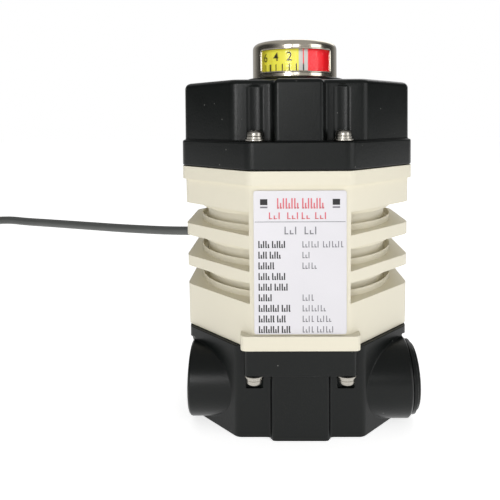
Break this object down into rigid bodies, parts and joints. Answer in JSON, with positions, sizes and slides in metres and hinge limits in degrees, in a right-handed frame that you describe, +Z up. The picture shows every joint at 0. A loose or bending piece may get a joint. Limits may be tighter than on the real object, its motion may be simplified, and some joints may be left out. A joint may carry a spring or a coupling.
{
  "type": "motorized valve actuator",
  "caption": "Small quarter-turn electric valve actuator: finned octagonal body, black cover with a windowed position indicator, worm-drive base, flying cable.",
  "frame": {"origin": "on the output axis at the base's bottom face, where the actuator sits on the valve", "axes": "+Z up along the output axis, the rating plate faces -Y, the hand-drive cap is at +X"},
  "size_m": [0.4464, 0.2808, 0.1872],
  "materials": {
    "black_enamel": "black powder coat on die-cast aluminium, satin",
    "cream_enamel": "warm ivory powder coat on die-cast aluminium, satin",
    "nickel": "polished nickel-plated steel",
    "bright_steel": "zinc-plated and ground steel",
    "bare_aluminium": "bare aluminium, fine brushed",
    "bronze": "bearing bronze, machined",
    "black_rubber": "black nitrile rubber",
    "cable_jacket": "dark grey PVC, matt",
    "black_plastic": "black polyamide, fine grain",
    "drum_print": "yellow drum with a red sector and black scale",
    "plate_print": "silver-white printed polyester on foil",
    "clear_lens": "clear polycarbonate",
    "core_insulation": "coloured PVC cores with ferrules"
  },
  "bodies": {
    "housing": {"top_cover": "black_enamel", "body_housing": "cream_enamel", "base_housing": "black_enamel", "cover_seal": "black_rubber", "base_seal": "black_rubber", "cover_screw_1": "bright_steel", "cover_screw_2": "bright_steel", "cover_screw_3": "bright_steel", "cover_screw_4": "bright_steel", "base_screw_1": "bright_steel", "base_screw_2": "bright_steel", "base_screw_3": "bright_steel", "base_screw_4": "bright_steel", "left_port_cap": "black_enamel", "hand_drive_cap": "black_enamel", "rating_plate": "plate_print", "indicator_bezel": "nickel", "indicator_lens": "clear_lens", "bezel_screw": "bright_steel", "shaft_seal": "black_rubber", "lower_bush": "bronze", "upper_bush": "bronze", "gear_plate": "bare_aluminium", "worm_bearing_left": "bright_steel", "worm_bearing_right": "bright_steel", "gear_motor": "bare_aluminium", "run_capacitor": "black_plastic", "spacer_post_1": "bright_steel", "spacer_post_2": "bright_steel", "spacer_post_3": "bright_steel", "switch_plate": "bare_aluminium", "closed_switch_mount": "black_plastic", "closed_limit_switch": "black_plastic", "open_switch_mount": "black_plastic", "open_limit_switch": "black_plastic", "terminal_block": "black_plastic", "gland_body": "black_plastic", "gland_nut": "black_plastic", "cable_boot": "black_rubber", "power_cable": "cable_jacket", "cable_coil": "cable_jacket", "coil_tie": "black_plastic", "cable_tail": "cable_jacket", "cable_cores": "core_insulation"},
    "output": {"output_shaft": "bright_steel", "worm_wheel": "bronze", "shaft_clip": "bright_steel", "cam_spindle": "bright_steel", "closed_cam": "black_plastic", "open_cam": "black_plastic", "indicator_drum": "drum_print", "drum_clip": "bright_steel"},
    "worm": {"worm_shaft": "bright_steel", "worm_bevel": "bright_steel"},
    "motor_output": {"motor_shaft": "bright_steel", "motor_bevel": "bright_steel"},
    "closed_lever": {"closed_switch_lever": "bright_steel"},
    "open_lever": {"open_switch_lever": "bright_steel"}
  },
  "joints": [
    {"name": "output_turn", "type": "hinge", "parent": "housing", "child": "output", "pos_m": [0, 0, 0.0188], "axis": [0, 0, 1], "range_deg": [0, 90]},
    {"name": "worm_turn", "type": "hinge", "parent": "housing", "child": "worm", "pos_m": [0, -0.0295, 0.0188], "axis": [1, 0, 0], "range_deg": [-2700, 0]},
    {"name": "motor_output_turn", "type": "hinge", "parent": "housing", "child": "motor_output", "pos_m": [0.022, -0.0295, 0.0345], "axis": [0, 0, 1], "range_deg": [0, 2700]},
    {"name": "closed_lever_press", "type": "hinge", "parent": "housing", "child": "closed_lever", "pos_m": [-0.016, -0.009, 0.1272], "axis": [0, 0, 1], "range_deg": [0, 9], "stiffness_Nm_per_rad": 0.02, "springref_deg": -2.86},
    {"name": "open_lever_press", "type": "hinge", "parent": "housing", "child": "open_lever", "pos_m": [0.016, -0.009, 0.1352], "axis": [0, 0, -1], "range_deg": [0, 9], "stiffness_Nm_per_rad": 0.02, "springref_deg": -2.86}
  ],
  "couplings": [
    {"joint": "worm_turn", "follows": "output_turn", "ratio": -30},
    {"joint": "motor_output_turn", "follows": "output_turn", "ratio": 30}
  ]
}
